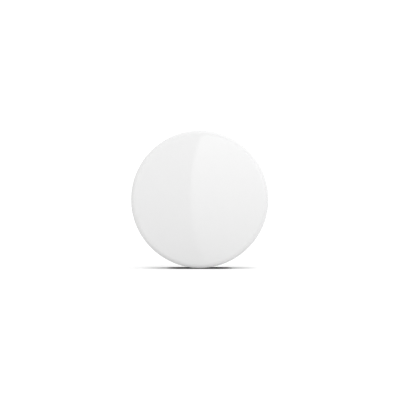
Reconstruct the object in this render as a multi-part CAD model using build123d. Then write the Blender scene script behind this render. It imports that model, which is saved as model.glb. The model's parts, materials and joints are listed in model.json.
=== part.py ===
from build123d import *
import os
from math import atan2, cos, degrees, pi, radians, sin, sqrt

# Disc-shaped streaming media player that stands upright on a small rubber foot.
# The front is a full circle. The rear cover has a flat at its bottom for the foot.
# Every piece is modelled with the disc lying on its back: +Z runs from the rear
# face to the glossy front, +Y runs to the top of the disc, +X to the right of
# the front. stand_up() turns a piece upright and sets the foot on Z = 0, with
# the front facing -Y. All sizes are in millimetres.

# ---------------------------------------------------------------- driving sizes
DISC_R = 50.0            # outer radius of the round case
FRONT_Z = 13.0           # crown of the front, half the depth of the case
REAR_Z = -13.0           # flat rear face
DOME_RISE = 1.6          # how far the crown stands above the edge of the dome
WALL = 2.0               # case wall
FRONT_EDGE_R = 3.2       # rounding between dome and side wall
REAR_EDGE_R = 4.5        # rounding between side wall and rear face
SEAM_Z = 7.0             # parting plane between the two covers
SEAM_GAP = 0.3           # shadow gap along the parting plane
LIP_DEPTH = 2.8          # how far the front cover's lip reaches into the rear cover
LIP_THICK = 1.3
FLAT_HALF_WIDTH = 8.0    # half of the chord cut off the bottom of the rear cover

FOOT_BELOW = 0.4         # how far the rubber foot reaches below the round front
FOOT_THICK = 1.8
FOOT_WIDTH = 14.0
FOOT_LOW_Z = -10.5       # rear and front end of the foot
FOOT_HIGH_Z = 5.5
FOOT_CLEAR = 0.15        # gap all round the foot in its pocket
FOOT_BACK_Y = -46.5      # top of the thicker wall that carries the foot's pocket
FOOT_BACK_WIDTH = 18.0

BOARD_FRONT_Z = 5.2      # side of the main board that faces the front
BOARD_THICK = 1.2
BOARD_R = 44.0
BOARD_FLAT_Y = -37.0     # straight lower edge that leaves room for the weight
PLATE_Z = (8.0, 9.4)     # rear and front face of the heat spreader
PLATE_R = 37.5

BAY_WIDTH = 66.0         # recessed connector bay in the rear face
BAY_HEIGHT = 19.0
BAY_DEPTH = 5.0
BAY_CORNER_R = 5.0
BAY_Y = -16.0
BAY_FLOOR = 1.6          # wall round and under the bay
TRAY_GAP = 0.06          # joint between the bay's tray and the rear cover
TRAY_FLANGE = 1.6        # how far the tray's flange reaches behind the rear wall
OPENING_CHAMFER = 0.35   # soft edge round every opening in the rear face

VENT_RADII = (23.0, 27.5, 32.0, 36.5, 41.0)
VENT_HALF_ANGLES = (42, 40, 37, 34, 31)
VENT_BARS = (3, 3, 3, 4, 4)
VENT_SLOT = 1.6          # width of a slot
VENT_BRIDGE = 3.6        # arc length from the end of one slot to the next

CASE_CORNERS = [(29.0, 29.0), (-29.0, 29.0), (-29.5, -31.5), (29.5, -31.5)]
CASE_SCREW_R = 1.0
COLUMN_R = 3.6           # columns in the rear cover round the case screws
CASE_WELL_R = 2.3        # wells that sink the case screws' heads
CASE_SEAT_Z = -3.0       # bottom of those wells
BOARD_SCREW_AT_R = 36.0  # board screws stand on this circle
BOARD_SCREW_ANGLES = (90, 200, 340)
BOARD_SCREW_R = 0.8
PILOT_GAP = 0.02         # radial gap between a screw's shank and its pilot
BALLAST_SCREW_X = (-12, 12)
BALLAST_SCREW_Y = -39.0
BALLAST_Z = (-8.0, 2.0)

ETHERNET_X = -22.0       # connector centres across the bay
HDMI_X = -1.5
USB_A_X = 14.0
USB_C_X = 25.0
HDMI_WALL = 0.4          # sheet of each socket's metal shell
USB_A_WALL = 0.35
USB_C_WALL = 0.3
ETHERNET_WALL = 0.3
SOCKET_CLEAR = 0.25      # gap between a socket and its opening in the bay

KEY_XY = (24.0, 6.0)     # pairing button and its switch
RESET_XY = (-27.0, 6.0)  # recessed reset switch behind a pinhole
KEY_R = 4.5
KEY_CLEAR = 0.25         # gap between the key cap and its hole
SLIDE_GAP = 0.02         # gap between the key's stem and the switch plunger
SWITCH_SIZE = 6.0
SWITCH_HIGH = 3.4        # body of a tactile switch above the board
PLUNGER_R = 1.7
PLUNGER_PROUD = 1.6      # plunger above the switch's body

LAMP_XY = (0.0, -31.0)   # status light behind the lower part of the front
SENSOR_XY = (12.0, -31.0)
PROCESSOR_XY = (-6.0, 10.0)
CHIP_DIMPLE_R = 0.5      # pin-one mark of a moulded package

ANTENNA_Z = (-8.0, 1.0)
ANTENNA_ANGLES = {"left": (152, 186), "right": (-8, 26)}
RADIO_XY = (-8.0, 23.0)
RADIO_PLUGS = {"left": (-20.0, 27.0), "right": (3.0, 27.0)}
RADIO_PLUG_HIGH = 1.8
COAX_R = 0.57

# ---------------------------------------------------------------- derived sizes
DOME_SPHERE_R = (DISC_R**2 + DOME_RISE**2) / (2 * DOME_RISE)
FLAT_Y = -sqrt(DISC_R**2 - FLAT_HALF_WIDTH**2)
CENTRE_HEIGHT = DISC_R + FOOT_BELOW
FOOT_PROUD = CENTRE_HEIGHT + FLAT_Y
INNER_R = DISC_R - WALL
FRONT_SEAM = SEAM_Z + SEAM_GAP / 2
REAR_SEAM = SEAM_Z - SEAM_GAP / 2
BOARD_REAR_Z = BOARD_FRONT_Z - BOARD_THICK
REAR_INNER_Z = REAR_Z + WALL
BAY_FLOOR_Z = REAR_Z + BAY_DEPTH
BAY_INNER_Z = BAY_FLOOR_Z + BAY_FLOOR
SWITCH_FACE_Z = BOARD_REAR_Z - SWITCH_HIGH
SWITCH_TIP_Z = SWITCH_FACE_Z - PLUNGER_PROUD
BOARD_CORNERS = [
    (BOARD_SCREW_AT_R * cos(radians(a)), BOARD_SCREW_AT_R * sin(radians(a)))
    for a in BOARD_SCREW_ANGLES
]
HDMI_TONGUE = (HDMI_X, BAY_Y + 0.55)
USB_A_TONGUE = (USB_A_X - 1.3, BAY_Y)
# Coaxial leads, from each antenna's feed point to its plug on the board.
COAX_ROUTES = {
    "left": (
        (-44.8, 14.5, -3.0),
        (-40.0, 16.2, -3.0),
        (-34.5, 20.2, -1.4),
        (-28.0, 24.2, 1.2),
        (-21.6, 26.4, BOARD_REAR_Z - 1.0),
    ),
    "right": (
        (45.5, 13.0, -3.0),
        (38.6, 14.4, -3.2),
        (30.0, 19.4, -2.4),
        (20.5, 23.4, -0.8),
        (11.8, 25.2, 1.6),
        (4.6, 26.4, BOARD_REAR_Z - 1.0),
    ),
}
BOTTOM = (Align.CENTER, Align.CENTER, Align.MIN)


# ---------------------------------------------------------------- small helpers
def stand_up(shape):
    """Turns a piece from lying on its back to standing on its foot."""
    return Pos(0, 0, CENTRE_HEIGHT) * Rot(90, 0, 0) * shape


def dome_z(r, crown):
    """Height of a dome with the front's curvature at distance r from its axis."""
    return crown - DOME_SPHERE_R + sqrt(DOME_SPHERE_R**2 - r**2)


def domed_disc(radius, base, crown):
    """Solid of revolution from a flat base up to a shallow dome."""
    rim = (radius, dome_z(radius, crown))
    middle = (radius / 2, dome_z(radius / 2, crown))
    outline = [
        Polyline((0, crown), (0, base), (radius, base), rim),
        ThreePointArc(rim, middle, (0, crown)),
    ]
    return revolve(Plane.XZ * make_face(outline), Axis.Z)


def turned(*points):
    """Solid of revolution from a closed outline of (radius, height) points."""
    return revolve(Plane.XZ * Polygon(*points, align=None), Axis.Z)


def post(x, y, radius, low, high):
    """Round bar along Z between two heights."""
    return Pos(x, y, low) * Cylinder(radius, high - low, align=BOTTOM)


def posts(places, radius, low, high):
    """The same round bar at several places."""
    return Part() + [post(x, y, radius, low, high) for x, y in places]


def block(x, y, width, height, low, high):
    """Box centred on (x, y) between two heights."""
    return Pos(x, y, low) * Box(width, height, high - low, align=BOTTOM)


def slab(outline, low, high):
    """A flat outline pushed up from one height to another."""
    return Pos(0, 0, low) * extrude(outline, high - low, dir=(0, 0, 1))


def sector(start, stop, reach, low, high):
    """Wedge about the disc's axis between two angles in degrees."""
    angles = (start, (start + stop) / 2, stop)
    corners = [(reach * cos(radians(a)), reach * sin(radians(a))) for a in angles]
    return slab(Polygon((0, 0), *corners, align=None), low, high)


def below_flat(low, high):
    """Everything under the flat at the bottom of the rear cover."""
    return block(0, FLAT_Y - 5, 40, 10, low, high)


def foot_back(grow, low, high):
    """The region of the thicker wall behind the foot, grown by grow."""
    reach = FOOT_BACK_Y - FLAT_Y + grow
    return block(0, FLAT_Y, FOOT_BACK_WIDTH + 2 * grow, 2 * reach, low, high)


def rings(shape):
    """Closed circular edges of a shape, lowest first."""
    round_edges = shape.edges().filter_by(GeomType.CIRCLE)
    return ShapeList([edge for edge in round_edges if edge.is_closed]).sort_by(Axis.Z)


def bay_outline(grow=0.0):
    """Rounded rectangle of the connector bay, grown all round by grow."""
    size = (BAY_WIDTH + 2 * grow, BAY_HEIGHT + 2 * grow)
    return Pos(0, BAY_Y) * RectangleRounded(*size, BAY_CORNER_R + grow)


def screw(x, y, seat, tip, shaft_r, head_r, head_high):
    """Pan head screw along Z with a hexagon recess. Its head stands rearward of seat."""
    blank = post(x, y, head_r, seat - head_high, seat)
    head = fillet(rings(blank)[0], 0.25 * head_high)
    hexagon = Pos(x, y) * RegularPolygon(head_r * 0.55, 6)
    recess = slab(hexagon, seat - head_high, seat - head_high * 0.4)
    return head - recess + post(x, y, shaft_r, seat, tip)


# ---------------------------------------------------------------- case
def front_bosses():
    """Bosses for the case screws and stepped pillars that the board stands on."""
    case_boss_r = 3.0
    pillar_r = 2.6
    collar_r = 3.6
    bosses = posts(CASE_CORNERS, case_boss_r, 0.0, 10.6)
    bosses += posts(BOARD_CORNERS, pillar_r, BOARD_FRONT_Z, 10.8)
    bosses += posts(BOARD_CORNERS, collar_r, PLATE_Z[1] + 0.1, 10.8)
    return bosses & domed_disc(DISC_R - 1, -1, FRONT_Z - WALL / 2)


def front_cover():
    """Glossy domed cap with a rounded edge, a locating lip and screw bosses."""
    skin = domed_disc(DISC_R, FRONT_SEAM, FRONT_Z)
    skin = fillet(rings(skin)[-1], FRONT_EDGE_R)
    hollow = domed_disc(INNER_R, FRONT_SEAM, FRONT_Z - WALL)
    hollow = fillet(rings(hollow)[-1], FRONT_EDGE_R / 2)
    cover = skin - hollow
    # The lip reaches into the rear cover and keeps the two covers in line.
    lip_out = INNER_R - 0.15
    lip_in = lip_out - LIP_THICK
    cover += turned(
        (lip_in, SEAM_Z - LIP_DEPTH),
        (lip_out, SEAM_Z - LIP_DEPTH),
        (lip_out, FRONT_SEAM),
        (INNER_R + 0.5, FRONT_SEAM),
        (INNER_R + 0.5, FRONT_SEAM + 1.0),
        (lip_in, FRONT_SEAM + 1.6),
    )
    cover += front_bosses()
    cover -= posts(CASE_CORNERS, CASE_SCREW_R + PILOT_GAP, 0.0, 7.5)
    cover -= posts(BOARD_CORNERS, BOARD_SCREW_R + PILOT_GAP, BOARD_FRONT_Z, 9.2)
    # Thinned spot that lets the status light shine through.
    cover -= post(*LAMP_XY, 1.7, 5, FRONT_Z - 1.6)
    # The lip stops short of the thicker wall behind the foot.
    return cover - foot_back(0.4, 0, FRONT_SEAM)


def rear_shell():
    """Outer and inner wall of the rear cover, before its openings."""
    shell = post(0, 0, DISC_R, REAR_Z, REAR_SEAM)
    shell = fillet(rings(shell)[0], REAR_EDGE_R)
    shell -= below_flat(REAR_Z - 1, REAR_SEAM + 1)
    hollow = post(0, 0, INNER_R, REAR_INNER_Z, REAR_SEAM)
    hollow = fillet(rings(hollow)[0], REAR_EDGE_R * 2 / 3)
    return shell - (hollow - foot_back(0, REAR_Z, SEAM_Z))


def vent_slots():
    """Outlines of the concentric ventilation slots in the upper rear face."""
    slots = []
    for radius, half_angle, bars in zip(VENT_RADII, VENT_HALF_ANGLES, VENT_BARS):
        share = 2 * half_angle / bars
        gap = degrees(VENT_BRIDGE / radius)
        for n in range(bars):
            start = 90 - half_angle + n * share + gap / 2
            arc = CenterArc((0, 0), radius, start, share - gap)
            slots.append(SlotArc(arc, VENT_SLOT))
    return slots


def rear_ribs():
    """Screw columns, the reset pin's guide, an arc rib and the weight's pillars."""
    root = REAR_Z + 1
    ribs = posts(CASE_CORNERS, COLUMN_R, root, -0.1)
    ribs += post(*RESET_XY, 2.2, root, SWITCH_TIP_Z - 0.6)
    rib_in, rib_out, rib_top = 20.0, 20.8, REAR_INNER_Z + 1.4
    arc_rib = turned((rib_in, root), (rib_out, root), (rib_out, rib_top), (rib_in, rib_top))
    ribs += arc_rib & block(0, 25, 60, 30, root, 0)
    ribs += posts([(x, BALLAST_SCREW_Y) for x in BALLAST_SCREW_X], 2.6, root, BALLAST_Z[0])
    return ribs


def rear_cover():
    """Satin tub with an opening for the connector tray, screw wells, vents and key hole."""
    through = REAR_INNER_Z + 0.01
    cover = rear_shell()
    cover += rear_ribs()
    for outline in vent_slots():
        cover -= slab(outline, REAR_Z - 1, through)
    cover -= post(*KEY_XY, KEY_R + KEY_CLEAR, REAR_Z - 1, through)
    cover -= post(*RESET_XY, 0.9, REAR_Z - 1, 0)
    rims = cover.faces().sort_by(Axis.Z)[0].inner_wires()
    cover = chamfer([edge for wire in rims for edge in wire.edges()], OPENING_CHAMFER)
    cover -= posts(CASE_CORNERS, CASE_WELL_R, REAR_Z - 1, CASE_SEAT_Z)
    cover -= posts(CASE_CORNERS, CASE_SCREW_R + 0.15, REAR_Z - 1, 1)
    pilots = [(x, BALLAST_SCREW_Y) for x in BALLAST_SCREW_X]
    cover -= posts(pilots, BOARD_SCREW_R + PILOT_GAP, REAR_Z + 1, BALLAST_Z[0] + 1)
    cover -= slab(bay_outline(BAY_FLOOR + TRAY_GAP), REAR_Z - 1, through)
    pocket_deep = 2 * (FOOT_THICK - FOOT_PROUD)
    pocket_wide = FOOT_WIDTH + 2 * FOOT_CLEAR
    cover -= block(
        0, FLAT_Y, pocket_wide, pocket_deep, FOOT_LOW_Z - FOOT_CLEAR, FOOT_HIGH_Z + FOOT_CLEAR
    )
    return cover


def bay_tray():
    """Recessed tray that the sockets open into, flanged behind the rear wall."""
    tray = slab(bay_outline(BAY_FLOOR), REAR_Z, BAY_INNER_Z)
    flange_z = REAR_INNER_Z + 0.02
    tray += slab(bay_outline(BAY_FLOOR + TRAY_FLANGE), flange_z, flange_z + 1.2)
    tray -= posts(CASE_CORNERS, COLUMN_R + 0.2, flange_z - 1, 0)
    tray -= slab(bay_outline(), REAR_Z - 1, BAY_FLOOR_Z)
    mouth = tray.faces().sort_by(Axis.Z)[0].inner_wires()[0]
    tray = chamfer(mouth.edges(), OPENING_CHAMFER)
    for hole in socket_holes():
        tray -= slab(hole, BAY_FLOOR_Z - 1, BAY_INNER_Z + 1)
    return tray


def foot_pad():
    """Soft pad that the player stands on, glued into the flat."""
    middle = FLAT_Y - FOOT_PROUD + FOOT_THICK / 2
    pad = block(0, middle, FOOT_WIDTH, FOOT_THICK, FOOT_LOW_Z, FOOT_HIGH_Z)
    return fillet(pad.edges().filter_by(Axis.Y), 2.0)


def vent_screen():
    """Fine dust screen behind the ventilation slots."""
    near, far = REAR_INNER_Z + 0.1, REAR_INNER_Z + 0.5
    inner_r, outer_r = VENT_RADII[0] - 1.8, VENT_RADII[-1] + 2.6
    ring = turned((inner_r, near), (outer_r, near), (outer_r, far), (inner_r, far))
    screen = ring & sector(57, 123, 60, near - 1, far + 1)
    return screen - posts(CASE_CORNERS, 4.0, near - 1, far + 1)


# ---------------------------------------------------------------- board and cooling
def main_board():
    """Round circuit board, slotted at its edge for the case screws' columns."""
    low, high = BOARD_REAR_Z - 1, BOARD_FRONT_Z + 1
    slot_r = 4.0
    board = post(0, 0, BOARD_R, BOARD_REAR_Z, BOARD_FRONT_Z)
    board -= posts(CASE_CORNERS, slot_r, low, high)
    for x, y in CASE_CORNERS:
        outward = Rot(0, 0, degrees(atan2(y, x)))
        board -= Pos(x, y) * outward * block(6, 0, 12, 2 * slot_r, low, high)
    board -= block(0, BOARD_FLAT_Y - 7, 60, 14, low, high)
    return board - posts(BOARD_CORNERS, BOARD_SCREW_R + 0.3, low, high)


def heat_spreader():
    """Aluminium plate that carries heat from the processor across the case."""
    low, high = PLATE_Z
    plate = post(0, 0, PLATE_R, low, high)
    plate -= posts(CASE_CORNERS, 4.2, low - 1, high + 1)
    plate += posts(BOARD_CORNERS, 4.6, low, high)
    plate -= posts(BOARD_CORNERS, 2.75, low - 1, high + 1)
    return plate - block(0, -37, 50, 22, low - 1, high + 1)


def shield_can(x, y, width, height, open_z, roof_z):
    """Folded tin lid that stands on the board with its open side at open_z."""
    wall = 0.2
    low, high = sorted((open_z, roof_z))
    can = block(x, y, width, height, low, high)
    can = fillet(can.edges().filter_by(Axis.Z), 0.8)
    inner_roof = roof_z - wall if roof_z > open_z else roof_z + wall
    low, high = sorted((open_z, inner_roof))
    return can - block(x, y, width - 2 * wall, height - 2 * wall, low, high)


def chips(places, width, height, board_z, roof_z):
    """Flat moulded packages with a pin-one dimple on the free side."""
    low, high = sorted((board_z, roof_z))
    group = Part()
    for x, y in places:
        dimple = Pos(x - width / 2 + 1, y + height / 2 - 1, roof_z) * Cylinder(CHIP_DIMPLE_R, 0.2)
        group += block(x, y, width, height, low, high) - dimple
    return group


def inductors():
    """Square moulded power inductors beside the supply chips."""
    group = Part()
    for x, y in ((36.5, 4.0), (36.5, -4.0), (30.5, 16.0)):
        body = block(x, y, 5.4, 5.4, BOARD_REAR_Z - 3.0, BOARD_REAR_Z)
        group += fillet(body.edges().filter_by(Axis.Z), 1.0)
    return group


def capacitors():
    """Polymer can capacitors, each on a square plastic base."""
    base_high = 0.8
    group = Part()
    for x, y in ((-36.0, -2.0), (-36.0, 5.0), (8.0, 32.0), (16.0, 32.0)):
        can = post(x, y, 2.5, BOARD_REAR_Z - 5.4, BOARD_REAR_Z - base_high)
        can = fillet(rings(can)[0], 0.4)
        group += can + block(x, y, 5.3, 5.3, BOARD_REAR_Z - base_high, BOARD_REAR_Z)
    return group


def clock_crystal():
    """Oblong metal can of the crystal."""
    can = block(8, 21, 5.0, 3.2, BOARD_REAR_Z - 0.9, BOARD_REAR_Z)
    return fillet(can.edges().filter_by(Axis.Z), 0.5)


# ---------------------------------------------------------------- connectors
def hdmi_outline(grow=0.0):
    """D-shaped outline of the inside of the video socket's metal shell."""
    half, top, knee, foot = 7.0 + grow, 2.3 + grow, -0.6, -2.3 - grow
    taper = 1.9
    corners = (
        (-half, top),
        (half, top),
        (half, knee),
        (half - taper, foot),
        (-half + taper, foot),
        (-half, knee),
    )
    return Pos(HDMI_X, BAY_Y) * Polygon(*corners, align=None)


def usb_a_outline(grow=0.0):
    """Upright rectangular inside of the media socket's metal shell."""
    return Pos(USB_A_X, BAY_Y) * RectangleRounded(5.1 + 2 * grow, 12.5 + 2 * grow, 0.4 + grow)


def usb_c_outline(grow=0.0):
    """Upright stadium inside of the power socket's metal shell."""
    return Pos(USB_C_X, BAY_Y) * Rot(0, 0, 90) * SlotOverall(8.4 + 2 * grow, 2.6 + 2 * grow)


def ethernet_outline(grow=0.0):
    """Outside of the network jack's metal shield."""
    return Pos(ETHERNET_X, BAY_Y) * Rectangle(16.2 + 2 * grow, 13.6 + 2 * grow)


def socket_holes():
    """Openings in the bay's floor, a little larger than each socket."""
    return [
        hdmi_outline(HDMI_WALL + SOCKET_CLEAR),
        usb_a_outline(USB_A_WALL + SOCKET_CLEAR),
        usb_c_outline(USB_C_WALL + SOCKET_CLEAR),
        ethernet_outline(SOCKET_CLEAR),
    ]


def socket_shell(outline, wall):
    """Drawn metal tube from the board to the bay's floor."""
    tube = slab(outline(wall), BAY_FLOOR_Z, BOARD_REAR_Z)
    return tube - slab(outline(), BAY_FLOOR_Z - 1, BOARD_REAR_Z + 1)


def socket_core(outline, tongue_x, tongue_y, width, height, depth):
    """Plastic insulator: a plug filling the tube's root and its contact tongue."""
    root_z = BAY_FLOOR_Z + depth
    core = slab(outline(-0.02), root_z, BOARD_REAR_Z)
    tongue = block(tongue_x, tongue_y, width, height, BAY_FLOOR_Z + 0.8, root_z)
    return core + chamfer(tongue.edges().group_by(Axis.Z)[0], 0.2)


def contact_row(centre, step, count, size, low, high):
    """Flat gold contacts in a row. step is the shift from one to the next."""
    row = Part()
    for n in range(count):
        shift = n - (count - 1) / 2
        row += block(centre[0] + shift * step[0], centre[1] + shift * step[1], *size, low, high)
    return row


def hdmi_contacts():
    """Ten contacts above the tongue of the video socket and nine below it."""
    x, y = HDMI_TONGUE
    reach = 0.91
    above = contact_row((x, y + reach), (1.0, 0), 9, (0.4, 0.12), -7.0, -2.0)
    below = contact_row((x, y - reach), (1.0, 0), 10, (0.4, 0.12), -7.0, -2.0)
    return above + below


def usb_a_contacts():
    """Four wide contacts on the inner side of the media socket's tongue."""
    x, y = USB_A_TONGUE
    return contact_row((x + 0.96, y), (0, 2.3), 4, (0.12, 1.2), -6.6, -0.4)


def usb_c_contacts():
    """Twelve fine contacts on each side of the power socket's tongue."""
    rows = Part()
    for side in (-1, 1):
        centre = (USB_C_X + side * 0.385, BAY_Y)
        rows += contact_row(centre, (0, 0.5), 12, (0.07, 0.25), -6.8, -2.6)
    return rows


def ethernet_shield():
    """Metal wrap round the network jack."""
    wrap = slab(ethernet_outline(), BAY_FLOOR_Z, BOARD_REAR_Z)
    return wrap - slab(ethernet_outline(-ETHERNET_WALL), BAY_FLOOR_Z - 1, BOARD_REAR_Z + 1)


def ethernet_housing():
    """Plastic body of the network jack with the plug's stepped cavity."""
    low = BAY_FLOOR_Z + 0.3
    body = slab(ethernet_outline(-ETHERNET_WALL - 0.02), low, BOARD_REAR_Z)
    root = low + 10.2
    for y, width, height in ((0.6, 11.9, 7.2), (-3.6, 6.4, 1.6), (-4.9, 3.6, 1.4)):
        body -= block(ETHERNET_X, BAY_Y + y, width, height, low - 1, root)
    for side in (-1, 1):
        body -= block(ETHERNET_X + side * 6.0, BAY_Y - 4.8, 2.9, 1.9, low - 1, low + 3)
    return body


def ethernet_contacts():
    """Eight sprung wires that slope across the jack's cavity."""
    thick, length, slope = 0.35, 7.6, 14
    wires = Part()
    for n in range(8):
        x = ETHERNET_X + (n - 3.5) * 1.02
        wire = Box(thick, thick, length, align=BOTTOM)
        wires += Pos(x, BAY_Y + 3.75, BAY_FLOOR_Z + 1.6) * Rot(slope, 0, 0) * wire
    return wires


def ethernet_lights():
    """Two light pipes at the mouth of the network jack."""
    low = BAY_FLOOR_Z + 0.35
    lights = Part()
    for side in (-1, 1):
        lights += block(ETHERNET_X + side * 6.0, BAY_Y - 4.8, 2.8, 1.8, low, low + 2.8)
    return lights


# ---------------------------------------------------------------- key and switches
def pairing_button():
    """Round dished key cap with a flange inside the wall and a stem to its switch."""
    x, y = KEY_XY
    face = REAR_Z + 0.2
    flange_z = REAR_INNER_Z + 0.1
    dish_r, dish_deep = 22.0, 0.35
    cap = post(x, y, KEY_R, face, flange_z)
    cap = fillet(rings(cap)[0], 0.5)
    cap -= Pos(x, y, face + dish_deep - dish_r) * Sphere(dish_r)
    flange = post(x, y, KEY_R + 1.1, flange_z, flange_z + 0.9)
    stem = post(x, y, 1.5, flange_z + 0.9, SWITCH_TIP_Z - SLIDE_GAP)
    return cap + flange + stem


def switch_body(place):
    """Tactile switch with a tin cover and a well for its plunger."""
    x, y = place
    body = block(x, y, SWITCH_SIZE, SWITCH_SIZE, SWITCH_FACE_Z, BOARD_REAR_Z)
    body = chamfer(body.edges().filter_by(Axis.Z), 0.5)
    return body - post(x, y, PLUNGER_R + 0.1, SWITCH_FACE_Z - 1, SWITCH_FACE_Z + 2.2)


def switch_plunger(place):
    """Round actuator of a tactile switch."""
    x, y = place
    plunger = post(x, y, PLUNGER_R, SWITCH_TIP_Z, SWITCH_FACE_Z + 1.6)
    return fillet(rings(plunger)[0], 0.2)


# ---------------------------------------------------------------- light and remote sensor
def light_guide():
    """Clear rod that carries the status light to the front cover."""
    rod = post(*LAMP_XY, 1.5, BOARD_FRONT_Z + 0.8, FRONT_Z - 1.7)
    return rod + post(*LAMP_XY, 2.0, 9.2, 9.9)


def light_baffle():
    """Black foam sleeve that keeps the status light from leaking."""
    return post(*LAMP_XY, 3.0, BOARD_FRONT_Z, 9.1) - post(*LAMP_XY, 1.6, 0, 20)


def status_light():
    """Surface mounted light under the guide."""
    return block(*LAMP_XY, 1.6, 0.8, BOARD_FRONT_Z, BOARD_FRONT_Z + 0.6)


def remote_sensor():
    """Infrared receiver with a half-round lens facing the front."""
    x, y = SENSOR_XY
    body = block(x, y, 5.6, 5.2, BOARD_FRONT_Z, BOARD_FRONT_Z + 2.4)
    lens = Pos(x, y, BOARD_FRONT_Z + 2.2) * Sphere(2.1)
    return body + (lens & block(x, y, 6, 6, BOARD_FRONT_Z + 1, BOARD_FRONT_Z + 8))


# ---------------------------------------------------------------- radio
def antenna(side):
    """Thin curved strip antenna stuck to the inside of the rear cover's wall."""
    low, high = ANTENNA_Z
    strip = post(0, 0, INNER_R - 0.05, low, high) - post(0, 0, INNER_R - 0.4, low - 1, high + 1)
    return strip & sector(*ANTENNA_ANGLES[side], 80, low - 1, high + 1)


def bend_radii(route):
    """Largest tangent arc that each corner of a route allows."""
    radii = []
    points = [Vector(*p) for p in route]
    for before, corner, after in zip(points, points[1:], points[2:]):
        arriving, leaving = corner - before, after - corner
        half_turn = radians(arriving.get_angle(leaving)) / 2
        shorter = min(arriving.length, leaving.length)
        radii.append(0.45 * shorter * cos(half_turn) / sin(half_turn))
    return radii


def antenna_cable(side):
    """Coaxial lead from an antenna to its plug, on straight runs and tangent arcs."""
    route = COAX_ROUTES[side]
    radii = bend_radii(route)
    path = FilletPolyline(*route, radius=radii)
    lead = sweep(Plane(origin=path @ 0, z_dir=path % 0) * Circle(COAX_R), path=path)
    whole = path.length * COAX_R**2 * pi
    print(f"antenna cable {side}: length {path.length:.1f}, volume {lead.volume:.2f} of {whole:.2f}")
    print("  bend radii", [round(r, 1) for r in radii])
    return lead


# ---------------------------------------------------------------- weight and screws
def ballast():
    """Steel weight low in the case that keeps the narrow foot planted."""
    low, high = BALLAST_Z
    weight = post(0, 0, INNER_R - 1.7, low, high) & block(0, -44, 44, 20, low, high)
    return weight - posts([(x, BALLAST_SCREW_Y) for x in BALLAST_SCREW_X], 1.1, low - 1, high + 1)


def ballast_screws():
    """Two screws, put in from the board side, that hold the weight."""
    seat = BALLAST_Z[1]
    screws = Part()
    for x in BALLAST_SCREW_X:
        blank = post(x, BALLAST_SCREW_Y, 1.7, seat, seat + 1.3)
        head = fillet(rings(blank)[-1], 0.4)
        head -= slab(Pos(x, BALLAST_SCREW_Y) * RegularPolygon(0.9, 6), seat + 0.5, seat + 2)
        screws += head + post(x, BALLAST_SCREW_Y, BOARD_SCREW_R, REAR_INNER_Z + 0.1, seat)
    return screws


def case_screws():
    """Four long screws through the rear cover into the front cover's bosses."""
    return Part() + [screw(x, y, CASE_SEAT_Z, 6.8, CASE_SCREW_R, 2.0, 1.4) for x, y in CASE_CORNERS]


def board_screws():
    """Three short screws that hold the board to the front cover."""
    return Part() + [screw(x, y, BOARD_REAR_Z, 8.8, BOARD_SCREW_R, 1.7, 1.2) for x, y in BOARD_CORNERS]


# ---------------------------------------------------------------- the whole assembly
def case_nodes():
    return {
        "front_cover": front_cover(),
        "rear_cover": rear_cover(),
        "bay_tray": bay_tray(),
        "foot_pad": foot_pad(),
        "vent_screen": vent_screen(),
        "ballast_weight": ballast(),
        "ballast_screws": ballast_screws(),
        "case_screws": case_screws(),
        "board_screws": board_screws(),
    }


def board_nodes():
    rear, front = BOARD_REAR_Z, BOARD_FRONT_Z
    x, y = PROCESSOR_XY
    return {
        "main_board": main_board(),
        "heat_spreader": heat_spreader(),
        "spreader_pad": block(0, y, 26, 20, front + 2.1, PLATE_Z[0]),
        "processor_shield": shield_can(0, y, 40, 28, front, front + 2.1),
        "processor_pad": block(x, y, 14, 14, front + 1.1, front + 1.9),
        "processor": chips([(x, y)], 15, 15, front, front + 1.1),
        "memory_chips": chips([(9, 4.5), (9, 15.5)], 11, 8.4, front, front + 1.0),
        "storage_chip": chips([(28.5, 4.0)], 11.5, 13.0, front, front + 1.0),
        "supply_chips": chips([(30.5, 8.5), (36.0, 12.0)], 4.0, 4.0, rear, rear - 0.9),
        "power_inductors": inductors(),
        "board_capacitors": capacitors(),
        "clock_crystal": clock_crystal(),
        "network_transformer": chips([(-22, -3.0)], 12.7, 5.6, rear, rear - 4.2),
        "status_light": status_light(),
        "light_guide": light_guide(),
        "light_baffle": light_baffle(),
        "remote_sensor": remote_sensor(),
    }


def radio_nodes():
    nodes = {
        "radio_chip": chips([RADIO_XY], 7.0, 7.0, BOARD_REAR_Z, BOARD_REAR_Z - 0.8),
        "radio_shield": shield_can(*RADIO_XY, 14, 12, BOARD_REAR_Z, BOARD_REAR_Z - 1.8),
        "radio_plugs": posts(RADIO_PLUGS.values(), 1.5, BOARD_REAR_Z - RADIO_PLUG_HIGH, BOARD_REAR_Z),
    }
    for side in ("left", "right"):
        nodes[f"antenna_{side}"] = antenna(side)
        nodes[f"antenna_cable_{side}"] = antenna_cable(side)
    return nodes


def socket_nodes():
    return {
        "hdmi_shell": socket_shell(hdmi_outline, HDMI_WALL),
        "hdmi_core": socket_core(hdmi_outline, *HDMI_TONGUE, 12.2, 1.7, 6.5),
        "hdmi_contacts": hdmi_contacts(),
        "usb_a_shell": socket_shell(usb_a_outline, USB_A_WALL),
        "usb_a_core": socket_core(usb_a_outline, *USB_A_TONGUE, 1.8, 11.1, 8.5),
        "usb_a_contacts": usb_a_contacts(),
        "usb_c_shell": socket_shell(usb_c_outline, USB_C_WALL),
        "usb_c_core": socket_core(usb_c_outline, USB_C_X, BAY_Y, 0.7, 6.6, 6.2),
        "usb_c_contacts": usb_c_contacts(),
        "ethernet_shield": ethernet_shield(),
        "ethernet_housing": ethernet_housing(),
        "ethernet_contacts": ethernet_contacts(),
        "ethernet_lights": ethernet_lights(),
    }


def switch_nodes():
    return {
        "pairing_button": pairing_button(),
        "pairing_switch": switch_body(KEY_XY),
        "pairing_plunger": switch_plunger(KEY_XY),
        "reset_switch": switch_body(RESET_XY),
        "reset_plunger": switch_plunger(RESET_XY),
    }


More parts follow.
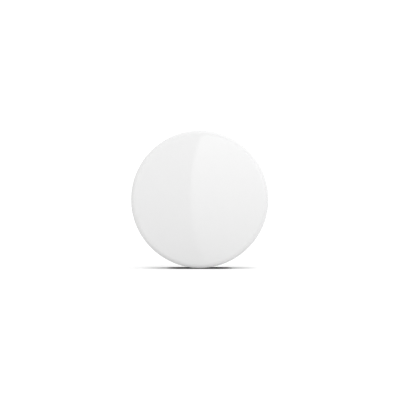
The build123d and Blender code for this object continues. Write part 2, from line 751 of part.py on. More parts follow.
os.makedirs("parts", exist_ok=True)
for group in (case_nodes(), board_nodes(), radio_nodes(), socket_nodes(), switch_nodes()):
    for name, shape in group.items():
        export_step(stand_up(shape), f"parts/{name}.step")
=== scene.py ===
# %% [markdown]
# # A round media player, dressed for the studio
# The player is a white disc, about as wide as a saucer, that stands upright on
# a small rubber foot. The engineering model already fixes where every piece
# sits. This lesson loads it, rebuilds the pieces whose surface carries the look,
# and gives every piece a finish that a moulder, a plater or a painter would know.

# %% Load the engineering frame
import json
import math

import bmesh
import bpy
from mathutils import Matrix, Vector


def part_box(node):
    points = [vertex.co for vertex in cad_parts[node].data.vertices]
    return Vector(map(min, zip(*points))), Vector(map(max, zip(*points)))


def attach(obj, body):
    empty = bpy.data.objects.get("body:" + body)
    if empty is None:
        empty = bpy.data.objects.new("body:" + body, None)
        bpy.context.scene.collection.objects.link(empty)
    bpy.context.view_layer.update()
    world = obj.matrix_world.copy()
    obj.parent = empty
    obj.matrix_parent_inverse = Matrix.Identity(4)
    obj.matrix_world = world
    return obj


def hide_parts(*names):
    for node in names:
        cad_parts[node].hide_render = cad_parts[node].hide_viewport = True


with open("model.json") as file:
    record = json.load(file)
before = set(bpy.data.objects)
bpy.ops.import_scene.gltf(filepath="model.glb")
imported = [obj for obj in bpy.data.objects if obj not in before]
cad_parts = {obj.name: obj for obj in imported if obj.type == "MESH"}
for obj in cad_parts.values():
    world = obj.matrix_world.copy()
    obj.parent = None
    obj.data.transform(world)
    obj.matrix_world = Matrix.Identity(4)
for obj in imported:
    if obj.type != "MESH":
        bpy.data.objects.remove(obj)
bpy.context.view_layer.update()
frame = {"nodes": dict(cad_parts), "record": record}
nodes = frame["nodes"]
MADE = []

# %% [markdown]
# ## Reading the main sizes
# All places come from the loaded nodes, so nothing has to be fitted later. The
# disc's axis runs along Y, one radius below the top of the rear cover, and the
# front faces -Y. The few sizes that a box can't tell, such as a wall or a
# rounding, are named here once.

# %% Main sizes
MM = 0.001
rear_low, rear_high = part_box("rear_cover")
DISC_R = (rear_high.x - rear_low.x) / 2
AXIS = Vector((0.0, 0.0, rear_high.z - DISC_R))
CROWN_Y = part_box("front_cover")[0].y
SEAM_GAP = 0.3 * MM
SEAM_Y = rear_low.y - SEAM_GAP
DOME_RISE = 1.6 * MM
DOME_SPHERE_R = (DISC_R**2 + DOME_RISE**2) / (2 * DOME_RISE)
WALL = 2.0 * MM
FRONT_EDGE_R = 3.2 * MM
print("disc radius", round(DISC_R, 5), "axis height", round(AXIS.z, 5))
print("dome radius", round(DOME_SPHERE_R, 3))

# %% [markdown]
# ## Helpers for making pieces
# A finished piece is a mesh object at the origin that rides on a body of the
# frame. Turned pieces start as an outline of a few points in the plane through
# the disc's axis: distance from the axis first, then depth along Y. Spinning the
# outline with one operator gives a true round form, and bevelling the rings
# gives soft moulded edges.

# %% Helpers
SPIN_STEPS = 192
VERT, EDGE, FACE = bmesh.types.BMVert, bmesh.types.BMEdge, bmesh.types.BMFace


def only(kind, geometry):
    """The vertices, edges or faces in what an operator gives back."""
    return [item for item in geometry if isinstance(item, kind)]


def two_sided(edge):
    return len(edge.link_faces) == 2


def finish_piece(bm, name, body, replaces=(), slot=None, smooth_angle=35, join=0.1e-6):
    """Closes a bmesh into an object that rides on a body and stands for CAD nodes."""
    bmesh.ops.remove_doubles(bm, verts=bm.verts, dist=join)
    for face in bm.faces:
        face.smooth = True
    limit = math.radians(smooth_angle)
    for edge in bm.edges:
        edge.smooth = two_sided(edge) and edge.calc_face_angle(0.0) < limit
    mesh = bpy.data.meshes.new(name)
    bm.to_mesh(mesh)
    bm.free()
    piece = bpy.data.objects.new(name, mesh)
    bpy.context.scene.collection.objects.link(piece)
    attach(piece, body)
    if replaces:
        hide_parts(*replaces)
    MADE.append((piece, slot))
    print("made", name, len(mesh.polygons), "faces")
    return piece


def outline(bm, points, centre, closed=False):
    """Joins (radius, depth) points into a chain of edges beside a turning axis."""
    verts = [bm.verts.new((centre.x + r, y, centre.z)) for r, y in points]
    edges = [bm.edges.new(pair) for pair in zip(verts, verts[1:])]
    if closed:
        edges.append(bm.edges.new((verts[-1], verts[0])))
    return verts, edges


def spin_round(bm, geometry, centre, steps=SPIN_STEPS):
    """Turns an outline once round an axis along Y."""
    bmesh.ops.spin(
        bm,
        geom=geometry,
        cent=(centre.x, 0, centre.z),
        axis=(0, 1, 0),
        angle=2 * math.pi,
        steps=steps,
        use_merge=True,
    )
    bmesh.ops.remove_doubles(bm, verts=bm.verts, dist=1e-7)
    bmesh.ops.recalc_face_normals(bm, faces=bm.faces)


def turn_solid(bm, points, centre, steps=48):
    """Adds one solid turned from an outline that starts and ends on its axis."""
    part = bmesh.new()
    verts, edges = outline(part, points, centre)
    spin_round(part, verts + edges, centre, steps)
    merge_in(bm, part)


def merge_in(bm, part):
    """Adds one bmesh to another and frees it."""
    mesh = bpy.data.meshes.new("part")
    part.to_mesh(mesh)
    part.free()
    bm.from_mesh(mesh)
    bpy.data.meshes.remove(mesh)


def bevel(bm, geometry, offset, segments, affect="EDGES", clamp=False):
    """A bevel with the settings that every bevel here shares."""
    bmesh.ops.bevel(
        bm,
        geom=geometry,
        offset=offset,
        segments=segments,
        profile=0.5,
        affect=affect,
        material=-1,
        clamp_overlap=clamp,
    )


def soften(bm, radius, segments=3):
    """Rounds every sharp edge, as a mould or a die does."""
    limit = math.radians(40)
    sharp = [e for e in bm.edges if two_sided(e) and e.calc_face_angle(0) > limit]
    bevel(bm, sharp, radius, segments, clamp=True)


def box_mesh(low, high):
    """A bmesh that holds one box between two corners."""
    bm = bmesh.new()
    place = Matrix.Translation((low + high) / 2) @ Matrix.Diagonal((*(high - low), 1.0))
    bmesh.ops.create_cube(bm, size=1.0, matrix=place)
    return bm


def upright_grid(bm, centre, wide, high, columns=1, rows=1):
    """Adds a flat grid that stands upright and faces along Y."""
    face_on = Matrix.Translation(centre) @ Matrix.Rotation(math.pi / 2, 4, "X")
    size = Matrix.Diagonal((wide, high, 1, 1))
    bmesh.ops.create_grid(bm, x_segments=columns, y_segments=rows, size=0.5, matrix=face_on @ size)


def bar(bm, low, high, radius=0.0, turn=None):
    """Adds a box between two corners, with its edges softened."""
    part = box_mesh(low, high)
    if radius:
        soften(part, radius, 2)
    if turn:
        bmesh.ops.transform(part, matrix=turn, verts=part.verts)
    merge_in(bm, part)


def swing(bm, vert, hub, angle, steps):
    """Draws an arc in the outline's plane by swinging a vertex. Gives the arc's end."""
    swept = bmesh.ops.spin(bm, geom=[vert], cent=hub, axis=(0, 0, 1), angle=angle, steps=steps)
    return swept["geom_last"][0]


def rolled_dome(bm, crown_y, radius, edge_r, dome_steps, edge_steps):
    """Half section of a dome whose rim rolls into a side wall. Gives its last vertex."""
    crown = bm.verts.new((AXIS.x, crown_y, AXIS.z))
    ball = Vector((AXIS.x, crown_y + DOME_SPHERE_R, AXIS.z))
    reach = math.asin((radius - edge_r) / (DOME_SPHERE_R - edge_r))
    rim = swing(bm, crown, ball, reach, dome_steps)
    roll = rim.co + (ball - rim.co).normalized() * edge_r
    return swing(bm, rim, roll, math.pi / 2 - reach, edge_steps)


# %% [markdown]
# Many small pieces come in groups, such as the four case screws. Their places
# aren't typed in again: a CAD node's mesh is split into its separate solids,
# and each solid gives its own box.

# %% Boxes of separate solids
def solid_boxes(name):
    """Lowest and highest corner of every separate solid in a CAD node, left to right."""
    bm = bmesh.new()
    bm.from_mesh(nodes[name].data)
    bmesh.ops.remove_doubles(bm, verts=bm.verts, dist=1e-6)
    waiting = set(bm.verts)
    boxes = []
    while waiting:
        front = [waiting.pop()]
        solid = []
        while front:
            vert = front.pop()
            solid.append(vert.co.copy())
            near = {edge.other_vert(vert) for edge in vert.link_edges} & waiting
            waiting -= near
            front.extend(near)
        low = Vector([min(co[i] for co in solid) for i in range(3)])
        high = Vector([max(co[i] for co in solid) for i in range(3)])
        boxes.append((low, high))
    bm.free()
    return sorted(boxes, key=lambda pair: (round(pair[0].x, 5), pair[0].z))


def middle(box):
    return (box[0] + box[1]) / 2


case_screw_boxes = solid_boxes("case_screws")
board_screw_boxes = solid_boxes("board_screws")
ballast_screw_boxes = solid_boxes("ballast_screws")
print("screws", len(case_screw_boxes), len(board_screw_boxes), len(ballast_screw_boxes))

# %% [markdown]
# ## The glossy front
# The real front is one injection moulding: a very shallow dome, about 1.6 mm
# high over 100 mm, that rolls over a small radius into the side wall. A gloss
# surface shows every flat facet as a kink in its reflections, so the dome is
# swept as a true arc in many small steps. Turning an arc is better here than
# inflating a subdivided disc, because its curvature is exactly even.

# %% Front dome
LIP_GAP = 0.15 * MM
LIP_THICK = 1.3 * MM
LIP_DEPTH = 2.8 * MM
LIP_ROOT = 1.6 * MM


def front_dome():
    bm = bmesh.new()
    inner = DISC_R - WALL
    lip_out, lip_in = inner - LIP_GAP, inner - LIP_GAP - LIP_THICK
    outer_end = rolled_dome(bm, CROWN_Y, DISC_R, FRONT_EDGE_R, 48, 12)
    inner_end = rolled_dome(bm, CROWN_Y + WALL, inner, FRONT_EDGE_R / 2, 12, 4)
    lip = [
        (DISC_R, SEAM_Y),
        (lip_out, SEAM_Y),
        (lip_out, SEAM_Y + LIP_DEPTH),
        (lip_in, SEAM_Y + LIP_DEPTH),
        (lip_in, SEAM_Y - LIP_ROOT),
        (inner, SEAM_Y - LIP_ROOT),
    ]
    verts, _ = outline(bm, lip, AXIS)
    bm.edges.new((outer_end, verts[0]))
    bm.edges.new((verts[-1], inner_end))
    spin_round(bm, bm.verts[:] + bm.edges[:], AXIS)
    return bm


finish_piece(front_dome(), "front_dome", "case", ["front_cover"], "front_gloss")

# %% [markdown]
# Inside, the same moulding carries four bosses that take the case screws and
# three stepped pillars that the circuit board stands on. Each is a turned
# outline with its blind pilot hole in it, which is shorter to say than a tube
# with a hole cut afterwards. A pilot is given as its radius and the depth of
# its end.

# %% Front bosses
BOSS_R = 3.0 * MM
PILLAR_R = 2.6 * MM
COLLAR_R = 3.6 * MM
BOSS_PILOT = (1.02 * MM, CROWN_Y + 5.5 * MM)
PILLAR_PILOT = (0.82 * MM, CROWN_Y + 3.8 * MM)
BOSS_ROOT_Y = CROWN_Y + 2.4 * MM
CHAMFER = 0.3 * MM
PLATE_GAP = 0.1 * MM


def front_bosses():
    bm = bmesh.new()
    plate_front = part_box("heat_spreader")[0].y
    board_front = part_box("main_board")[0].y
    bore_r, bore_end = BOSS_PILOT
    for box in case_screw_boxes:
        tube = [
            (0, bore_end),
            (bore_r, bore_end),
            (bore_r, -CHAMFER),
            (bore_r + CHAMFER, 0),
            (BOSS_R - CHAMFER, 0),
            (BOSS_R, -CHAMFER),
            (BOSS_R, BOSS_ROOT_Y),
            (0, BOSS_ROOT_Y),
        ]
        turn_solid(bm, tube, middle(box))
    bore_r, bore_end = PILLAR_PILOT
    for box in board_screw_boxes:
        pillar = [
            (0, bore_end),
            (bore_r, bore_end),
            (bore_r, board_front),
            (PILLAR_R - CHAMFER, board_front),
            (PILLAR_R, board_front - CHAMFER),
            (PILLAR_R, plate_front - PLATE_GAP),
            (COLLAR_R, plate_front - PLATE_GAP),
            (COLLAR_R, BOSS_ROOT_Y),
            (0, BOSS_ROOT_Y),
        ]
        turn_solid(bm, pillar, middle(box))
    return bm


finish_piece(front_bosses(), "front_bosses", "case", ["front_cover"], "front_gloss")

# %% [markdown]
# ## Pieces that keep their engineering shape
# The rear cover, its connector tray and the stamped and cut pieces already have
# the right shape. Their meshes are loose triangles, though, and look faceted.
# A merged copy shades them smoothly over curves and keeps their true edges. A
# Weighted Normal modifier lets the big flat faces rule, so that the shading
# doesn't bleed from a rounding into the flat beside it.

# %% Smooth copies
ROUND_NODES = (
    "rear_cover",
    "bay_tray",
    "ballast_weight",
    "main_board",
    "heat_spreader",
    "processor_shield",
    "radio_shield",
    "radio_plugs",
    "power_inductors",
    "clock_crystal",
    "antenna_left",
    "antenna_right",
    "antenna_cable_left",
    "antenna_cable_right",
    "light_guide",
    "light_baffle",
    "remote_sensor",
    "pairing_switch",
    "reset_switch",
)
slot_of = {row["node"]: row["material_slot"] for row in frame["record"]["subparts"]}


def smooth_copy(name):
    bm = bmesh.new()
    bm.from_mesh(nodes[name].data)
    piece = finish_piece(bm, f"smooth_{name}", "case", [name], slot_of[name], 28, join=1e-6)
    weigh = piece.modifiers.new("weigh", "WEIGHTED_NORMAL")
    weigh.keep_sharp = True


for name in ROUND_NODES:
    smooth_copy(name)

# %% [markdown]
# ## Pairing key
# A round key with a dished face sits in the rear cover. The dish is a shallow
# arc, made by swinging one vertex about a far centre. A raised ring lets a
# fingertip find the key without looking. Behind the wall a flange keeps it from
# falling out, and a stem reaches its switch.

# %% Pairing key
KEY_R = 4.5 * MM
KEY_FLANGE_R = 5.6 * MM
KEY_STEM_R = 1.5 * MM
DISH_R = 22.0 * MM
DISH_DEEP = 0.35 * MM
DISH_EDGE = 3.9 * MM
KEY_SIDE = 1.9 * MM
FLANGE_THICK = 0.9 * MM
RING_IN, RING_OUT = 1.5 * MM, 1.9 * MM
RING_HIGH = 0.14 * MM
RING_SLOPE = 0.1 * MM


def pairing_key():
    low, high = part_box("pairing_button")
    centre = (low + high) / 2
    bm = bmesh.new()
    hollow = bm.verts.new((centre.x, high.y - DISH_DEEP, centre.z))
    hub = hollow.co + Vector((0, DISH_R, 0))
    rim = swing(bm, hollow, hub, math.asin(DISH_EDGE / DISH_R), 10)
    wall_y = high.y - KEY_SIDE
    flange_y = wall_y - FLANGE_THICK
    side = [
        (KEY_R - 0.35 * MM, high.y),
        (KEY_R - 0.1 * MM, high.y - 0.1 * MM),
        (KEY_R, high.y - 0.4 * MM),
        (KEY_R, wall_y),
        (KEY_FLANGE_R, wall_y),
        (KEY_FLANGE_R, flange_y),
        (KEY_STEM_R, flange_y),
        (KEY_STEM_R, low.y),
        (0, low.y),
    ]
    verts, _ = outline(bm, side, centre)
    bm.edges.new((rim, verts[0]))
    spin_round(bm, bm.verts[:] + bm.edges[:], centre, 96)
    ring_y = high.y - DISH_DEEP
    ridge = [
        (RING_IN, ring_y - RING_SLOPE),
        (RING_IN + RING_SLOPE, ring_y + RING_HIGH),
        (RING_OUT - RING_SLOPE, ring_y + RING_HIGH),
        (RING_OUT, ring_y - RING_SLOPE),
    ]
    ring = bmesh.new()
    verts, edges = outline(ring, ridge, centre, closed=True)
    spin_round(ring, verts + edges, centre, 64)
    merge_in(bm, ring)
    return bm


finish_piece(pairing_key(), "pairing_key", "pairing_button", ["pairing_button"], "rear_satin")

# %% [markdown]
# Each tactile switch has a small nylon plunger with a rounded tip. Turning an
# outline of five points and softening its rim is all it takes.

# %% Switch plungers
TIP_EDGE = 0.35 * MM
TIP_ROUND = 0.25 * MM


def plunger(node):
    low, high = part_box(node)
    centre = (low + high) / 2
    r = (high.x - low.x) / 2
    tip = [(0, high.y), (r - TIP_EDGE, high.y), (r, high.y), (r, low.y), (0, low.y)]
    bm = bmesh.new()
    turn_solid(bm, tip, centre)
    soften(bm, TIP_ROUND)
    return bm


for node in ("pairing_plunger", "reset_plunger"):
    finish_piece(plunger(node), f"round_{node}", node, [node], "switch_plunger")

# %% [markdown]
# ## Foot
# The disc stands on a soft dark pad that is glued into a flat on the rear cover,
# so the front can stay fully round. Ribs on its underside keep it from acting
# as a suction cup. The pad is a block with round
# corners whose underside is inset and pushed in, and the ribs fill the recess.

# %% Ribbed foot
RIB_COUNT = 7
RIB_WIDE = 0.9 * MM
RIB_DEEP = 0.35 * MM
RIB_ROUND = 0.12 * MM
RIBS_FROM_END, RIBS_FROM_SIDE = 1.5 * MM, 1.6 * MM
RIB_LIFT, RIB_TOP = 0.02 * MM, 0.6 * MM
FOOT_CORNER_R = 2.0 * MM
FOOT_BORDER = 0.9 * MM


def ribbed_foot():
    low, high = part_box("foot_pad")
    bm = box_mesh(low, high)
    upright = [e for e in bm.edges if abs(e.verts[0].co.z - e.verts[1].co.z) > 0.5 * MM]
    bevel(bm, upright, FOOT_CORNER_R, 8)
    under = [f for f in bm.faces if f.normal.z < -0.9]
    bmesh.ops.inset_region(bm, faces=under, thickness=FOOT_BORDER, use_even_offset=True)
    bmesh.ops.translate(bm, vec=(0, 0, RIB_DEEP), verts=list(under[0].verts))
    soften(bm, RIB_ROUND, 2)
    step = (high.y - low.y - 2 * RIBS_FROM_END) / RIB_COUNT
    for n in range(RIB_COUNT):
        y = low.y + RIBS_FROM_END + (n + 0.5) * step
        start = Vector((low.x + RIBS_FROM_SIDE, y - RIB_WIDE / 2, low.z + RIB_LIFT))
        end = Vector((high.x - RIBS_FROM_SIDE, y + RIB_WIDE / 2, low.z + RIB_TOP))
        bar(bm, start, end, RIB_ROUND)
    return bm


finish_piece(ribbed_foot(), "ribbed_foot", "case", ["foot_pad"], "foot_rubber")

# %% [markdown]
# ## Dust screen
# Behind the vents lies a moulded nylon screen. Its mesh is a plain grid, cut to
# the fan shape of the vents, that a Wireframe modifier turns into crossing
# bars. A thicker border is swept round it, as on a real moulded screen, where
# the plastic enters through the border.

# %% Dust screen
MESH_PITCH = 0.95 * MM
MESH_BAR = 0.26 * MM
MESH_MARGIN = 0.4 * MM
BORDER = 1.0 * MM
BORDER_OVERLAP = 0.3 * MM
FAN_FROM, FAN_TO = math.radians(57), math.radians(123)


def fan_radii():
    low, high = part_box("vent_screen")
    return (low.z - AXIS.z) / math.sin(FAN_FROM), high.z - AXIS.z


def screen_mesh():
    low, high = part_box("vent_screen")
    inner_r, outer_r = fan_radii()
    bm = bmesh.new()
    size = high - low
    columns, rows = round(size.x / MESH_PITCH), round(size.z / MESH_PITCH)
    upright_grid(bm, (low + high) / 2, size.x, size.z, columns, rows)
    for side in (-1, 1):
        bmesh.ops.bisect_plane(
            bm,
            geom=bm.verts[:] + bm.edges[:] + bm.faces[:],
            plane_co=AXIS,
            plane_no=(side * math.sin(FAN_FROM), 0, -math.cos(FAN_FROM)),
            clear_outer=True,
            dist=1e-7,
        )
    gone = []
    for face in bm.faces:
        away = face.calc_center_median() - AXIS
        if not inner_r + MESH_MARGIN < math.hypot(away.x, away.z) < outer_r - MESH_MARGIN:
            gone.append(face)
    bmesh.ops.delete(bm, geom=gone, context="FACES")
    return bm


def screen_border():
    low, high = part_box("vent_screen")
    inner_r, outer_r = fan_radii()
    bm = bmesh.new()
    for r in (inner_r, outer_r - BORDER):
        part = bmesh.new()
        corners = [(r, low.y), (r, high.y), (r + BORDER, high.y), (r + BORDER, low.y)]
        verts, edges = outline(part, corners, AXIS, closed=True)
        start = Matrix.Rotation(-FAN_FROM, 3, "Y")
        bmesh.ops.rotate(part, cent=AXIS, matrix=start, verts=verts)
        made = bmesh.ops.spin(
            part, geom=verts + edges, cent=AXIS, axis=(0, 1, 0), angle=FAN_FROM - FAN_TO, steps=48
        )
        bmesh.ops.edgeloop_fill(part, edges=edges)
        bmesh.ops.edgeloop_fill(part, edges=only(EDGE, made["geom_last"]))
        bmesh.ops.recalc_face_normals(part, faces=part.faces)
        merge_in(bm, part)
    for angle, side in ((FAN_FROM, 1), (FAN_TO, -1)):
        turn = Matrix.Translation(AXIS) @ Matrix.Rotation(-angle, 4, "Y")
        near, far = sorted((0.0, side * BORDER))
        start = Vector((inner_r, low.y, near))
        bar(bm, start, Vector((outer_r - BORDER_OVERLAP, high.y, far)), turn=turn)
    return bm


mesh_piece = finish_piece(screen_mesh(), "screen_mesh", "case", ["vent_screen"], "dark_screen")
bars = mesh_piece.modifiers.new("bars", "WIREFRAME")
bars.thickness = MESH_BAR
bars.use_even_offset = False
finish_piece(screen_border(), "screen_border", "case", ["vent_screen"], "dark_screen")

# %% [markdown]
# ## Sockets
# Each socket has a shell drawn from thin plated sheet. The shell's outline is a
# flat face with rounded corners. Insetting it by the thickness of the sheet and
# dropping the middle leaves the cut end of a tube, and one extrusion makes the
# tube. Its mouth is rolled, so that a plug finds its way in.

# %% Socket shells
KNEE_DROP = 0.6 * MM
MOUTH_ROLL = 0.42        # rounding of the mouth, as a share of the sheet


def drawn_tube(low, high, wall, corner_r, squeeze=0.0):
    """A rectangular tube along Y. squeeze narrows its lower edge, as on a video socket."""
    bm = bmesh.new()
    size = high - low
    centre = Vector(((low.x + high.x) / 2, high.y, (low.z + high.z) / 2))
    upright_grid(bm, centre, size.x, size.z)
    if squeeze:
        uprights = [e for e in bm.edges if abs(e.verts[0].co.z - e.verts[1].co.z) > size.z / 2]
        bmesh.ops.subdivide_edges(bm, edges=uprights, cuts=1)
        knees = [v for v in bm.verts if abs(v.co.z - centre.z) < size.z / 4]
        lower = [v for v in bm.verts if v.co.z < centre.z - size.z / 4]
        bmesh.ops.translate(bm, vec=(0, 0, -KNEE_DROP), verts=knees)
        narrow = (size.x - 2 * squeeze) / size.x
        bmesh.ops.scale(bm, vec=(narrow, 1, 1), verts=lower, space=Matrix.Translation(-centre))
        bmesh.ops.dissolve_edges(bm, edges=[e for e in bm.edges if two_sided(e)])
    bevel(bm, bm.verts[:], corner_r, 6, affect="VERTICES")
    made = bmesh.ops.inset_region(
        bm, faces=bm.faces[:], thickness=wall, use_even_offset=True, use_boundary=True
    )
    end = made["faces"]
    bmesh.ops.delete(bm, geom=[f for f in bm.faces if f not in end], context="FACES")
    made = bmesh.ops.extrude_face_region(bm, geom=end, use_keep_orig=True)["geom"]
    bmesh.ops.translate(bm, vec=(0, low.y - high.y, 0), verts=only(VERT, made))
    bmesh.ops.recalc_face_normals(bm, faces=bm.faces)
    mouth = [
        e
        for e in bm.edges
        if min(v.co.y for v in e.verts) > high.y - 1e-6 and e.calc_face_angle(0) > math.radians(40)
    ]
    bevel(bm, mouth, wall * MOUTH_ROLL, 3)
    return bm


SHELLS = {
    "hdmi_shell": {"wall": 0.4 * MM, "corner_r": 0.35 * MM, "squeeze": 1.9 * MM},
    "usb_a_shell": {"wall": 0.35 * MM, "corner_r": 0.75 * MM},
    "usb_c_shell": {"wall": 0.3 * MM, "corner_r": 1.58 * MM},
    "ethernet_shield": {"wall": 0.3 * MM, "corner_r": 0.3 * MM},
}
for node, sheet in SHELLS.items():
    tube = drawn_tube(*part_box(node), **sheet)
    finish_piece(tube, f"rolled_{node}", "case", [node], "socket_steel")

# %% [markdown]
# Springs in the shells grip the plug. Each is a narrow leaf that bulges into
# the socket: an edge, swung through a short arc, and thickened.

# %% Socket springs
LEAF_R = 6.0 * MM
LEAF_HALF_ANGLE = math.radians(22)
LEAF_THICK = 0.12 * MM
LEAF_BULGE = 0.45 * MM
USB_LEAF_Z, USB_LEAF_DEEP, USB_LEAF_WIDE = 3.0 * MM, 5.0 * MM, 1.6 * MM
HDMI_LEAF_X, HDMI_LEAF_DEEP, HDMI_LEAF_WIDE = 3.6 * MM, 4.5 * MM, 1.5 * MM


def leaf(bm, x, z, y, inward, width):
    """One spring leaf beside (x, z), centred at depth y, bulging along inward."""
    part = bmesh.new()
    across = Vector((0, 1, 0)).cross(inward)
    top = Vector((x, y, z)) + inward * LEAF_BULGE
    hub = top - inward * LEAF_R
    ends = [part.verts.new(top + across * share * width) for share in (-0.5, 0.5)]
    edge = part.edges.new(ends)
    tilt = Matrix.Rotation(-LEAF_HALF_ANGLE, 3, across)
    bmesh.ops.rotate(part, cent=hub, matrix=tilt, verts=ends)
    bmesh.ops.spin(
        part, geom=ends + [edge], cent=hub, axis=across, angle=2 * LEAF_HALF_ANGLE, steps=8
    )
    bmesh.ops.solidify(part, geom=part.faces[:], thickness=LEAF_THICK)
    bmesh.ops.recalc_face_normals(part, faces=part.faces)
    merge_in(bm, part)


def socket_springs():
    bm = bmesh.new()
    low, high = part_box("usb_a_shell")
    centre = (low + high) / 2
    wall = SHELLS["usb_a_shell"]["wall"]
    y = high.y - USB_LEAF_DEEP
    for z in (centre.z - USB_LEAF_Z, centre.z + USB_LEAF_Z):
        for x, side in ((low.x + wall, 1), (high.x - wall, -1)):
            leaf(bm, x, z, y, Vector((side, 0, 0)), USB_LEAF_WIDE)
    low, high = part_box("hdmi_shell")
    centre = (low + high) / 2
    wall = SHELLS["hdmi_shell"]["wall"]
    y = high.y - HDMI_LEAF_DEEP
    for x in (centre.x - HDMI_LEAF_X, centre.x + HDMI_LEAF_X):
        leaf(bm, x, high.z - wall, y, Vector((0, 0, -1)), HDMI_LEAF_WIDE)
    return bm


finish_piece(socket_springs(), "socket_springs", "case", slot="socket_steel")

# %% [markdown]
# ## Screws
# A screw starts as the hexagon of its recess. The ring of edges is pulled out,
# widened and pushed down, again and again, until head and core are there. The
# thread is a small triangle, swung round the core while it climbs.

# %% Screws
THREAD_PITCH = 0.7 * MM
CORE_SHARE = 0.78        # core radius, as a share of the thread's crest
RECESS_SHARE = 0.52      # hexagon recess, as a share of the head's radius


def step_ring(bm, edges, centre, factor, dy):
    """Extrudes a ring of edges, scales it about its axis and moves it along Y."""
    made = bmesh.ops.extrude_edge_only(bm, edges=edges)["geom"]
    verts = only(VERT, made)
    bmesh.ops.scale(bm, vec=(factor, 1, factor), verts=verts, space=Matrix.Translation(-centre))
    bmesh.ops.translate(bm, vec=(0, dy, 0), verts=verts)
    return only(EDGE, made)


def thread(bm, centre, root_r, crest_r, start_y, end_y):
    """A ridge that climbs round a core from start_y to end_y, rooted a little inside it."""
    part = bmesh.new()
    steps = 20
    turns = int(abs(end_y - start_y) / THREAD_PITCH)
    rise = math.copysign(THREAD_PITCH / steps, end_y - start_y)
    half = 0.32 * THREAD_PITCH
    inside_r = root_r * 0.96
    corners = [(inside_r, start_y - half), (crest_r, start_y), (inside_r, start_y + half)]
    verts, edges = outline(part, corners, centre, closed=True)
    made = bmesh.ops.spin(
        part,
        geom=verts + edges,
        cent=(centre.x, 0, centre.z),
        axis=(0, 1, 0),
        angle=2 * math.pi * turns,
        steps=steps * turns,
        dvec=(0, rise, 0),
    )
    bmesh.ops.edgeloop_fill(part, edges=edges)
    bmesh.ops.edgeloop_fill(part, edges=only(EDGE, made["geom_last"]))
    bmesh.ops.recalc_face_normals(part, faces=part.faces)
    merge_in(bm, part)


def pan_screw(bm, box, head_r, head_high, crest_r, head_up=1):
    """A pan head screw along Y. head_up is 1 when the head is at the rear end."""
    low, high = box
    top_y, tip_y = (high.y, low.y) if head_up > 0 else (low.y, high.y)
    centre = Vector(((low.x + high.x) / 2, top_y, (low.z + high.z) / 2))
    down = -head_up
    seat_y = top_y + down * head_high
    root_r = crest_r * CORE_SHARE
    part = bmesh.new()
    face_on = Matrix.Translation(centre) @ Matrix.Rotation(math.pi / 2, 4, "X")
    bmesh.ops.create_circle(part, segments=6, radius=head_r * RECESS_SHARE, matrix=face_on)
    bmesh.ops.subdivide_edges(part, edges=part.edges[:], cuts=5)
    rim = part.edges[:]
    floor = step_ring(part, rim, centre, 1.0, down * head_high * 0.6)
    bmesh.ops.edgeloop_fill(part, edges=floor)
    shoulder = bmesh.ops.create_circle(part, segments=36, radius=head_r * 0.82, matrix=face_on)
    edges = list({e for v in shoulder["verts"] for e in v.link_edges})
    bmesh.ops.bridge_loops(part, edges=rim + edges)
    for radius, y in (
        (head_r * 0.95, top_y + down * head_high * 0.12),
        (head_r, top_y + down * head_high * 0.35),
        (head_r, seat_y),
        (root_r, seat_y),
        (root_r, tip_y - down * 0.6 * MM),
        (root_r * 0.3, tip_y),
    ):
        verts = list({v for e in edges for v in e.verts})
        now_r = math.hypot(verts[0].co.x - centre.x, verts[0].co.z - centre.z)
        edges = step_ring(part, edges, centre, radius / now_r, y - verts[0].co.y)
    bmesh.ops.edgeloop_fill(part, edges=edges)
    bmesh.ops.recalc_face_normals(part, faces=part.faces)
    merge_in(bm, part)
    thread(bm, centre, root_r, crest_r, seat_y + down * 1.2 * MM, tip_y - down * 0.9 * MM)


SCREWS = {
    "case_screws": (case_screw_boxes, 2.0 * MM, 1.4 * MM, 1.0 * MM, 1),
    "board_screws": (board_screw_boxes, 1.7 * MM, 1.2 * MM, 0.8 * MM, 1),
    "ballast_screws": (ballast_screw_boxes, 1.7 * MM, 1.3 * MM, 0.8 * MM, -1),
}
for node, (boxes, *sizes) in SCREWS.items():
    bm = bmesh.new()
    for box in boxes:
        pan_screw(bm, box, *sizes)
    finish_piece(bm, f"threaded_{node}", "case", [node], "screw_steel")

# %% [markdown]
# ## Small parts on the board
# The can capacitors are turned: a rounded rim, a plain wall, and the crimp that
# squeezes the can on its rubber plug. Each stands on a square plastic base with
# two cut corners. The network transformer gets its sixteen bent legs, each
# extruded in five steps from a small face. A step is given in millimetres, away
# from the board and then out from the body.

# %% Can capacitors
CAN_R = 2.5 * MM
CAN_BASE = 0.8 * MM
CRIMP = 0.18 * MM


def can_capacitors():
    cans, bases = bmesh.new(), bmesh.new()
    for low, high in solid_boxes("board_capacitors"):
        centre = (low + high) / 2
        r = CAN_R
        top, root = high.y, low.y + CAN_BASE
        can = [
            (0, top - 0.08 * MM),
            (r - 0.6 * MM, top - 0.08 * MM),
            (r - 0.45 * MM, top),
            (r - 0.15 * MM, top - 0.08 * MM),
            (r, top - 0.4 * MM),
            (r, root + 1.5 * MM),
            (r - CRIMP, root + 1.2 * MM),
            (r - CRIMP, root + 1.0 * MM),
            (r, root + 0.7 * MM),
            (r, root),
            (0, root),
        ]
        turn_solid(cans, can, centre)
        part = box_mesh(low, Vector((high.x, root, high.z)))
        cut = [
            e
            for e in part.edges
            if abs(e.verts[0].co.y - e.verts[1].co.y) > CAN_BASE / 2 and e.verts[0].co.z > centre.z
        ]
        bevel(part, cut, 0.9 * MM, 1)
        merge_in(bases, part)
    return cans, bases


cans, bases = can_capacitors()
finish_piece(cans, "capacitor_cans", "case", ["board_capacitors"], "capacitor")
finish_piece(bases, "capacitor_bases", "case", ["board_capacitors"], "socket_plastic")

# %% Transformer legs
LEG_COUNT = 8
LEG_WIDE = 0.4 * MM
LEG_THICK = 0.2 * MM


